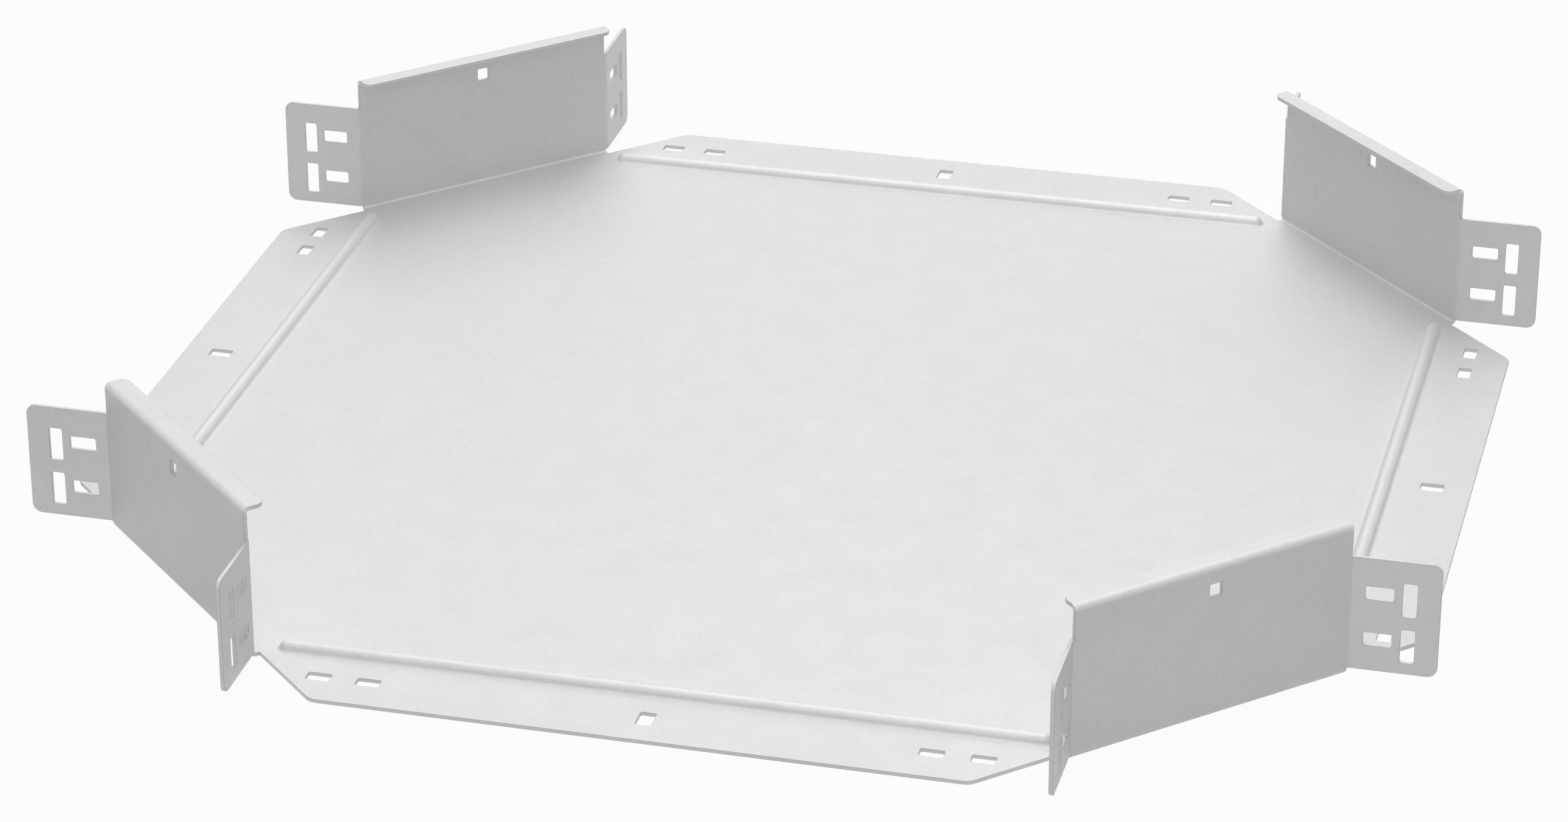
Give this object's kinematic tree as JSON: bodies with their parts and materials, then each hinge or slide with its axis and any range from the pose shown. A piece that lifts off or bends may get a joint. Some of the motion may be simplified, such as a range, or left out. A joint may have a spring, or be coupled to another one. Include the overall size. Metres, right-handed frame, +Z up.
{
  "type": "cable tray cross",
  "caption": "Cable tray cross folded from sheet metal, with a flat base, diagonal side walls, slotted coupling tabs and tongues, and stiffening beads.",
  "frame": {"origin": "centre of the base, on its underside", "axes": "+Z up out of the tray, +X and +Y along the two cable trays that cross"},
  "size_m": [0.7198, 0.7198, 0.082],
  "materials": {
    "galvanised_steel": "matt galvanised, light grey, with a faint ripple"
  },
  "bodies": {
    "root": {"tray_cross": "galvanised_steel"}
  },
  "joints": []
}
